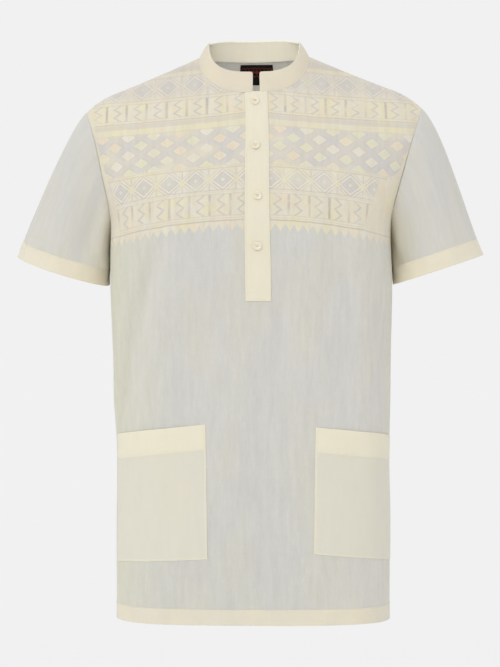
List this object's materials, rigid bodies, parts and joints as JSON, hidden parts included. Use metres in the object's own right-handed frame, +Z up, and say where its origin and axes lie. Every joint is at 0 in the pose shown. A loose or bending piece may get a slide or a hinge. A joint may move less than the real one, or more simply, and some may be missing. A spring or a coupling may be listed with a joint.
{
  "type": "fatua",
  "caption": "Short-sleeved pullover tunic shirt with band collar, half button placket, two patch pockets and turned hems, in pale hand-woven cotton with a geometric patterned yoke.",
  "frame": {"origin": "the middle of the neck opening, level with the high points of the shoulders, where the garment hangs on its wearer", "axes": "+Z up, -Y towards the front, +X towards the wearer's left"},
  "size_m": [0.6531, 0.2331, 0.8082],
  "materials": {
    "woven_cloth": "matte",
    "sleeve_cloth": "matte",
    "cream_cloth": "matte",
    "label_weave": "matte",
    "button_pearl": "satin"
  },
  "bodies": {
    "root": {"front": "woven_cloth", "front_hem": "cream_cloth", "back": "woven_cloth", "back_hem": "cream_cloth", "sleeve_left": "sleeve_cloth", "sleeve_left_hem": "cream_cloth", "sleeve_right": "sleeve_cloth", "sleeve_right_hem": "cream_cloth", "collar": "cream_cloth", "pocket_right": "cream_cloth", "pocket_left": "cream_cloth", "placket_upper": "cream_cloth", "placket_under": "cream_cloth", "label": "label_weave", "button_1": "button_pearl", "button_2": "button_pearl", "button_3": "button_pearl", "button_4": "button_pearl"}
  },
  "joints": []
}
